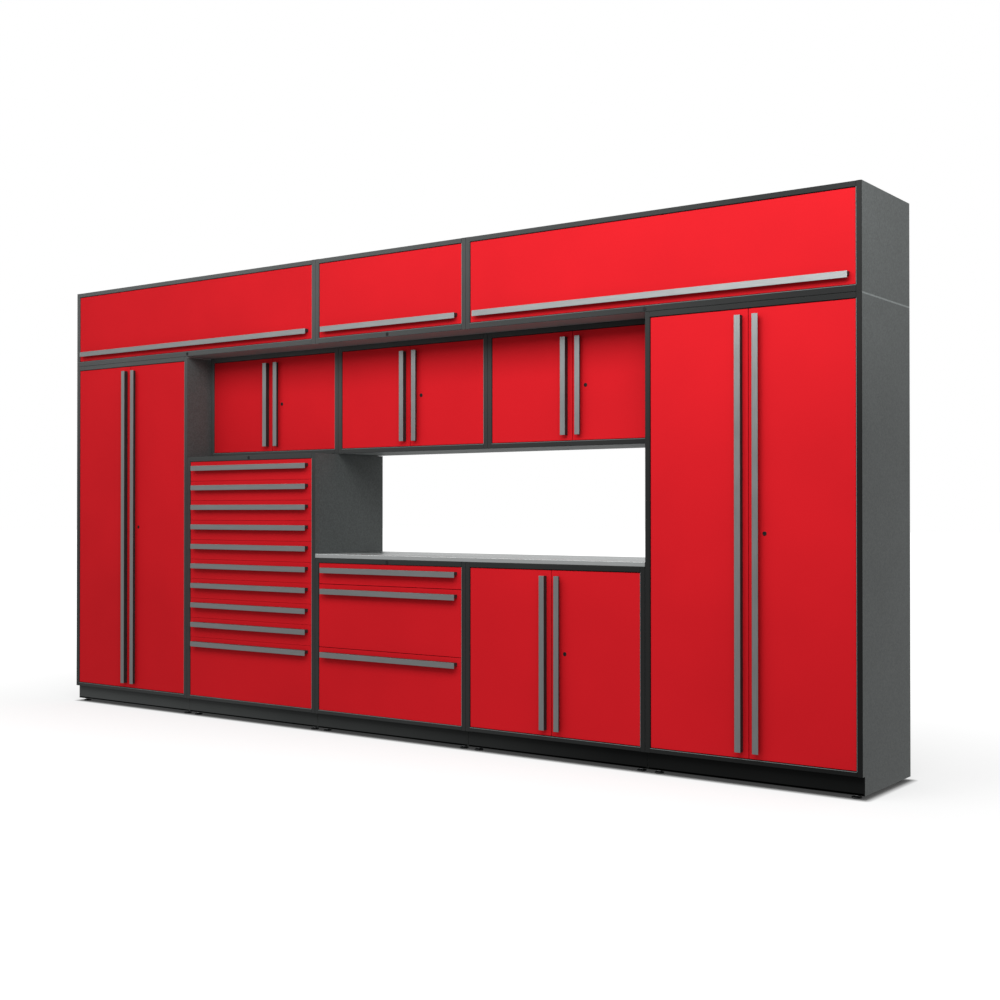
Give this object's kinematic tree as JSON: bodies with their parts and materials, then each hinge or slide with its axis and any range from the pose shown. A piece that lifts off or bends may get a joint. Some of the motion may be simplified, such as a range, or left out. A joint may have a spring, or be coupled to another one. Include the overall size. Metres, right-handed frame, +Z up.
{
  "type": "modular garage cabinet wall",
  "caption": "Wall of modular steel garage storage: lockers, drawer chests, worktop, wall and overhead cabinets with full-length handles.",
  "frame": {"origin": "bottom centre of the whole set, on the floor", "axes": "+Z up, +X to the right seen from the front, fronts face -Y"},
  "size_m": [4.4988, 0.51, 2.237],
  "materials": {
    "red_fronts": "satin red powder coat",
    "dark_frames": "satin charcoal powder coat",
    "grey_interior": "satin charcoal powder coat",
    "steel_top": "brushed",
    "handle_silver": "satin anodised",
    "handle_black": "fine texture",
    "zinc_steel": "zinc plated",
    "black_tube": "gloss black",
    "lock_black": "gloss black",
    "black_plastic": "moulded",
    "rubber_black": "matt rubber"
  },
  "bodies": {
    "cabinet_wall": {"left_tall_case": "dark_frames", "right_tall_case": "dark_frames", "base_case": "dark_frames", "wall_1_case": "dark_frames", "wall_2_case": "dark_frames", "wall_3_case": "dark_frames", "chest_case": "dark_frames", "drawer_base_case": "dark_frames", "left_overhead_case": "dark_frames", "middle_overhead_case": "dark_frames", "right_overhead_case": "dark_frames", "worktop": "steel_top", "shelves": "grey_interior", "levelling_feet": "black_plastic", "drawer_runners": "zinc_steel"},
    "left_tall_door_left": {"left_tall_door_left": "red_fronts"},
    "left_tall_door_right": {"left_tall_door_right": "red_fronts"},
    "left_tall_lock": {"left_tall_lock": "lock_black"},
    "right_tall_door_left": {"right_tall_door_left": "red_fronts"},
    "right_tall_door_right": {"right_tall_door_right": "red_fronts"},
    "right_tall_lock": {"right_tall_lock": "lock_black"},
    "base_door_left": {"base_door_left": "red_fronts"},
    "base_door_right": {"base_door_right": "red_fronts"},
    "base_lock": {"base_lock": "lock_black"},
    "wall_1_door_left": {"wall_1_door_left": "red_fronts"},
    "wall_1_door_right": {"wall_1_door_right": "red_fronts"},
    "wall_1_lock": {"wall_1_lock": "lock_black"},
    "wall_2_door_left": {"wall_2_door_left": "red_fronts"},
    "wall_2_door_right": {"wall_2_door_right": "red_fronts"},
    "wall_2_lock": {"wall_2_lock": "lock_black"},
    "wall_3_door_left": {"wall_3_door_left": "red_fronts"},
    "wall_3_door_right": {"wall_3_door_right": "red_fronts"},
    "wall_3_lock": {"wall_3_lock": "lock_black"},
    "chest_drawer_01": {"chest_drawer_01": "red_fronts"},
    "chest_drawer_02": {"chest_drawer_02": "red_fronts"},
    "chest_drawer_03": {"chest_drawer_03": "red_fronts"},
    "chest_drawer_04": {"chest_drawer_04": "red_fronts"},
    "chest_drawer_05": {"chest_drawer_05": "red_fronts"},
    "chest_drawer_06": {"chest_drawer_06": "red_fronts"},
    "chest_drawer_07": {"chest_drawer_07": "red_fronts"},
    "chest_drawer_08": {"chest_drawer_08": "red_fronts"},
    "chest_drawer_09": {"chest_drawer_09": "red_fronts"},
    "chest_drawer_10": {"chest_drawer_10": "red_fronts"},
    "base_drawer_01": {"base_drawer_01": "red_fronts"},
    "base_drawer_02": {"base_drawer_02": "red_fronts"},
    "base_drawer_03": {"base_drawer_03": "red_fronts"},
    "chest_lock": {"chest_lock": "lock_black"},
    "drawer_base_lock": {"drawer_base_lock": "lock_black"},
    "left_lift_door": {"left_lift_door": "red_fronts"},
    "left_strut_tubes": {"left_strut_tubes": "black_tube"},
    "left_strut_rods": {"left_strut_rods": "zinc_steel"},
    "left_lift_lock": {"left_lift_lock": "lock_black"},
    "middle_lift_door": {"middle_lift_door": "red_fronts"},
    "middle_strut_tubes": {"middle_strut_tubes": "black_tube"},
    "middle_strut_rods": {"middle_strut_rods": "zinc_steel"},
    "middle_lift_lock": {"middle_lift_lock": "lock_black"},
    "right_lift_door": {"right_lift_door": "red_fronts"},
    "right_strut_tubes": {"right_strut_tubes": "black_tube"},
    "right_strut_rods": {"right_strut_rods": "zinc_steel"},
    "right_lift_lock": {"right_lift_lock": "lock_black"}
  },
  "joints": [
    {"name": "left_tall_door_left_hinge", "type": "hinge", "parent": "cabinet_wall", "child": "left_tall_door_left", "pos_m": [-2.2159, -0.2265, 0.958], "axis": [0, 0, -1], "range_deg": [0, 90]},
    {"name": "left_tall_door_right_hinge", "type": "hinge", "parent": "cabinet_wall", "child": "left_tall_door_right", "pos_m": [-1.3841, -0.2265, 0.958], "axis": [0, 0, 1], "range_deg": [0, 90]},
    {"name": "left_tall_lock_turn", "type": "hinge", "parent": "left_tall_door_right", "child": "left_tall_lock", "pos_m": [-1.734, -0.2315, 0.958], "axis": [0, 1, 0], "range_deg": [0, 90]},
    {"name": "right_tall_door_left_hinge", "type": "hinge", "parent": "cabinet_wall", "child": "right_tall_door_left", "pos_m": [1.3841, -0.2265, 0.958], "axis": [0, 0, -1], "range_deg": [0, 90]},
    {"name": "right_tall_door_right_hinge", "type": "hinge", "parent": "cabinet_wall", "child": "right_tall_door_right", "pos_m": [2.2159, -0.2265, 0.958], "axis": [0, 0, 1], "range_deg": [0, 90]},
    {"name": "right_tall_lock_turn", "type": "hinge", "parent": "right_tall_door_right", "child": "right_tall_lock", "pos_m": [1.866, -0.2315, 0.958], "axis": [0, 1, 0], "range_deg": [0, 90]},
    {"name": "base_door_left_hinge", "type": "hinge", "parent": "cabinet_wall", "child": "base_door_left", "pos_m": [0.4841, -0.2265, 0.4505], "axis": [0, 0, -1], "range_deg": [0, 90]},
    {"name": "base_door_right_hinge", "type": "hinge", "parent": "cabinet_wall", "child": "base_door_right", "pos_m": [1.3159, -0.2265, 0.4505], "axis": [0, 0, 1], "range_deg": [0, 90]},
    {"name": "base_lock_turn", "type": "hinge", "parent": "base_door_right", "child": "base_lock", "pos_m": [0.966, -0.2315, 0.4505], "axis": [0, 1, 0], "range_deg": [0, 90]},
    {"name": "wall_1_door_left_hinge", "type": "hinge", "parent": "cabinet_wall", "child": "wall_1_door_left", "pos_m": [-1.3159, -0.0665, 1.5775], "axis": [0, 0, -1], "range_deg": [0, 90]},
    {"name": "wall_1_door_right_hinge", "type": "hinge", "parent": "cabinet_wall", "child": "wall_1_door_right", "pos_m": [-0.4841, -0.0665, 1.5775], "axis": [0, 0, 1], "range_deg": [0, 90]},
    {"name": "wall_1_lock_turn", "type": "hinge", "parent": "wall_1_door_right", "child": "wall_1_lock", "pos_m": [-0.834, -0.0715, 1.5775], "axis": [0, 1, 0], "range_deg": [0, 90]},
    {"name": "wall_2_door_left_hinge", "type": "hinge", "parent": "cabinet_wall", "child": "wall_2_door_left", "pos_m": [-0.4159, -0.0665, 1.5775], "axis": [0, 0, -1], "range_deg": [0, 90]},
    {"name": "wall_2_door_right_hinge", "type": "hinge", "parent": "cabinet_wall", "child": "wall_2_door_right", "pos_m": [0.4159, -0.0665, 1.5775], "axis": [0, 0, 1], "range_deg": [0, 90]},
    {"name": "wall_2_lock_turn", "type": "hinge", "parent": "wall_2_door_right", "child": "wall_2_lock", "pos_m": [0.066, -0.0715, 1.5775], "axis": [0, 1, 0], "range_deg": [0, 90]},
    {"name": "wall_3_door_left_hinge", "type": "hinge", "parent": "cabinet_wall", "child": "wall_3_door_left", "pos_m": [0.4841, -0.0665, 1.5775], "axis": [0, 0, -1], "range_deg": [0, 90]},
    {"name": "wall_3_door_right_hinge", "type": "hinge", "parent": "cabinet_wall", "child": "wall_3_door_right", "pos_m": [1.3159, -0.0665, 1.5775], "axis": [0, 0, 1], "range_deg": [0, 90]},
    {"name": "wall_3_lock_turn", "type": "hinge", "parent": "wall_3_door_right", "child": "wall_3_lock", "pos_m": [0.966, -0.0715, 1.5775], "axis": [0, 1, 0], "range_deg": [0, 90]},
    {"name": "chest_drawer_01_slide", "type": "slide", "parent": "cabinet_wall", "child": "chest_drawer_01", "axis": [0, -1, 0], "range_m": [0, 0.33]},
    {"name": "chest_drawer_02_slide", "type": "slide", "parent": "cabinet_wall", "child": "chest_drawer_02", "axis": [0, -1, 0], "range_m": [0, 0.33]},
    {"name": "chest_drawer_03_slide", "type": "slide", "parent": "cabinet_wall", "child": "chest_drawer_03", "axis": [0, -1, 0], "range_m": [0, 0.33]},
    {"name": "chest_drawer_04_slide", "type": "slide", "parent": "cabinet_wall", "child": "chest_drawer_04", "axis": [0, -1, 0], "range_m": [0, 0.33]},
    {"name": "chest_drawer_05_slide", "type": "slide", "parent": "cabinet_wall", "child": "chest_drawer_05", "axis": [0, -1, 0], "range_m": [0, 0.33]},
    {"name": "chest_drawer_06_slide", "type": "slide", "parent": "cabinet_wall", "child": "chest_drawer_06", "axis": [0, -1, 0], "range_m": [0, 0.33]},
    {"name": "chest_drawer_07_slide", "type": "slide", "parent": "cabinet_wall", "child": "chest_drawer_07", "axis": [0, -1, 0], "range_m": [0, 0.33]},
    {"name": "chest_drawer_08_slide", "type": "slide", "parent": "cabinet_wall", "child": "chest_drawer_08", "axis": [0, -1, 0], "range_m": [0, 0.33]},
    {"name": "chest_drawer_09_slide", "type": "slide", "parent": "cabinet_wall", "child": "chest_drawer_09", "axis": [0, -1, 0], "range_m": [0, 0.33]},
    {"name": "chest_drawer_10_slide", "type": "slide", "parent": "cabinet_wall", "child": "chest_drawer_10", "axis": [0, -1, 0], "range_m": [0, 0.33]},
    {"name": "base_drawer_01_slide", "type": "slide", "parent": "cabinet_wall", "child": "base_drawer_01", "axis": [0, -1, 0], "range_m": [0, 0.33]},
    {"name": "base_drawer_02_slide", "type": "slide", "parent": "cabinet_wall", "child": "base_drawer_02", "axis": [0, -1, 0], "range_m": [0, 0.33]},
    {"name": "base_drawer_03_slide", "type": "slide", "parent": "cabinet_wall", "child": "base_drawer_03", "axis": [0, -1, 0], "range_m": [0, 0.33]},
    {"name": "chest_lock_turn", "type": "hinge", "parent": "cabinet_wall", "child": "chest_lock", "pos_m": [-0.9, -0.235, 1.306], "axis": [0, 1, 0], "range_deg": [0, 90]},
    {"name": "drawer_base_lock_turn", "type": "hinge", "parent": "cabinet_wall", "child": "drawer_base_lock", "pos_m": [0, -0.235, 0.809], "axis": [0, 1, 0], "range_deg": [0, 90]},
    {"name": "left_lift_door_hinge", "type": "hinge", "parent": "cabinet_wall", "child": "left_lift_door", "pos_m": [-1.35, -0.2265, 2.2045], "axis": [-1, 0, 0], "range_deg": [0, 88]},
    {"name": "left_strut_tubes_swing", "type": "hinge", "parent": "cabinet_wall", "child": "left_strut_tubes", "pos_m": [-1.35, -0.0365, 2.1645], "axis": [-1, 0, 0], "range_deg": [0, 9.13]},
    {"name": "left_strut_rods_slide", "type": "slide", "parent": "left_strut_tubes", "child": "left_strut_rods", "axis": [0, -0.9923, -0.124], "range_m": [0, 0.08868]},
    {"name": "left_lift_lock_turn", "type": "hinge", "parent": "cabinet_wall", "child": "left_lift_lock", "pos_m": [-1.35, -0.235, 1.848], "axis": [0, -1, 0], "range_deg": [0, 90]},
    {"name": "middle_lift_door_hinge", "type": "hinge", "parent": "cabinet_wall", "child": "middle_lift_door", "pos_m": [0, -0.2265, 2.2045], "axis": [-1, 0, 0], "range_deg": [0, 88]},
    {"name": "middle_strut_tubes_swing", "type": "hinge", "parent": "cabinet_wall", "child": "middle_strut_tubes", "pos_m": [0, -0.0365, 2.1645], "axis": [-1, 0, 0], "range_deg": [0, 9.13]},
    {"name": "middle_strut_rods_slide", "type": "slide", "parent": "middle_strut_tubes", "child": "middle_strut_rods", "axis": [0, -0.9923, -0.124], "range_m": [0, 0.08868]},
    {"name": "middle_lift_lock_turn", "type": "hinge", "parent": "cabinet_wall", "child": "middle_lift_lock", "pos_m": [0, -0.235, 1.848], "axis": [0, -1, 0], "range_deg": [0, 90]},
    {"name": "right_lift_door_hinge", "type": "hinge", "parent": "cabinet_wall", "child": "right_lift_door", "pos_m": [1.35, -0.2265, 2.2045], "axis": [-1, 0, 0], "range_deg": [0, 88]},
    {"name": "right_strut_tubes_swing", "type": "hinge", "parent": "cabinet_wall", "child": "right_strut_tubes", "pos_m": [1.35, -0.0365, 2.1645], "axis": [-1, 0, 0], "range_deg": [0, 9.13]},
    {"name": "right_strut_rods_slide", "type": "slide", "parent": "right_strut_tubes", "child": "right_strut_rods", "axis": [0, -0.9923, -0.124], "range_m": [0, 0.08868]},
    {"name": "right_lift_lock_turn", "type": "hinge", "parent": "cabinet_wall", "child": "right_lift_lock", "pos_m": [1.35, -0.235, 1.848], "axis": [0, -1, 0], "range_deg": [0, 90]}
  ],
  "couplings": [
    {"joint": "left_strut_tubes_swing", "follows": "left_lift_door_hinge", "ratio": 0.10169},
    {"joint": "left_strut_rods_slide", "follows": "left_lift_door_hinge", "m_per_rad": 0.057164},
    {"joint": "middle_strut_tubes_swing", "follows": "middle_lift_door_hinge", "ratio": 0.10169},
    {"joint": "middle_strut_rods_slide", "follows": "middle_lift_door_hinge", "m_per_rad": 0.057164},
    {"joint": "right_strut_tubes_swing", "follows": "right_lift_door_hinge", "ratio": 0.10169},
    {"joint": "right_strut_rods_slide", "follows": "right_lift_door_hinge", "m_per_rad": 0.057164}
  ]
}
